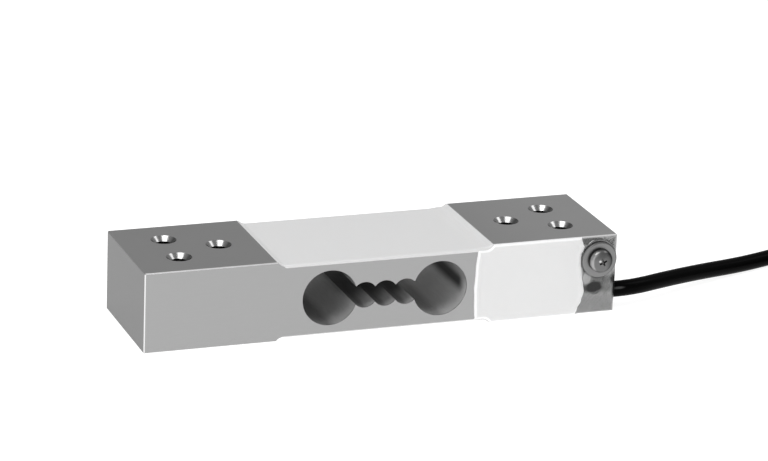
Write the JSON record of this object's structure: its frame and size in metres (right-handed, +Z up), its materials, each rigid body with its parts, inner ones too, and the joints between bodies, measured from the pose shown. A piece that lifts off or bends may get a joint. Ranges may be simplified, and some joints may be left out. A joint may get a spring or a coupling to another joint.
{
  "type": "single point load cell",
  "caption": "Single point load cell: an aluminium bar thinned round a binocular cut-out, with tapped holes in both ends, gauges under white silicone and a coiled lead.",
  "frame": {"origin": "on the base face, midway between the two bolt holes nearest the fixed end", "axes": "+X along the bar towards the lead's exit, +Y away from the coated side, +Z up to the loaded face"},
  "size_m": [0.3192, 0.0649, 0.025],
  "materials": {
    "bar_metal": "milled, satin",
    "white_silicone": "smooth, slightly glossy",
    "clear_lacquer": "clear, glossy",
    "clear_resin": "clear, glossy",
    "plated_steel": "bright plated",
    "tinned_metal": "tinned",
    "board_green": "solder mask",
    "copper_foil": "tinned copper",
    "resistor_dark": "matte",
    "lead_jacket": "smooth, glossy",
    "tie_black": "satin",
    "sleeve_black": "satin, shrunk on",
    "gauge_film": "amber film",
    "gauge_foil": "etched foil",
    "enamelled_wire": "enamelled",
    "core_green": "smooth",
    "core_white": "smooth",
    "core_black": "smooth",
    "core_red": "smooth"
  },
  "bodies": {
    "root": {"board_core_black": "core_black", "board_core_green": "core_green", "board_core_red": "core_red", "board_core_white": "core_white", "board_pads": "copper_foil", "bottom_coat": "white_silicone", "bridge_wires_bottom": "enamelled_wire", "bridge_wires_top": "enamelled_wire", "coil_tie": "tie_black", "core_tips": "tinned_metal", "drain_wire": "tinned_metal", "end_sleeve": "sleeve_black", "entry_resin": "clear_resin", "gauge_grid_bottom_fixed": "gauge_foil", "gauge_grid_bottom_load": "gauge_foil", "gauge_grid_top_fixed": "gauge_foil", "gauge_grid_top_load": "gauge_foil", "gauge_wires_bottom": "enamelled_wire", "gauge_wires_top": "enamelled_wire", "ground_screw": "plated_steel", "ground_washer": "plated_steel", "lacquer_film": "clear_lacquer", "lead_coil": "lead_jacket", "lead_core_black": "core_black", "lead_core_green": "core_green", "lead_core_red": "core_red", "lead_core_white": "core_white", "lead_tube": "lead_jacket", "port_resin": "clear_resin", "side_coat": "white_silicone", "solder_tag": "tinned_metal", "spring_body": "bar_metal", "strain_gauge_bottom_fixed": "gauge_film", "strain_gauge_bottom_load": "gauge_film", "strain_gauge_top_fixed": "gauge_film", "strain_gauge_top_load": "gauge_film", "terminal_pads_bottom": "copper_foil", "terminal_pads_top": "copper_foil", "terminal_strip_bottom": "gauge_film", "terminal_strip_top": "gauge_film", "top_coat": "white_silicone", "trimming_board": "board_green", "trimming_resistors": "resistor_dark"}
  },
  "joints": []
}
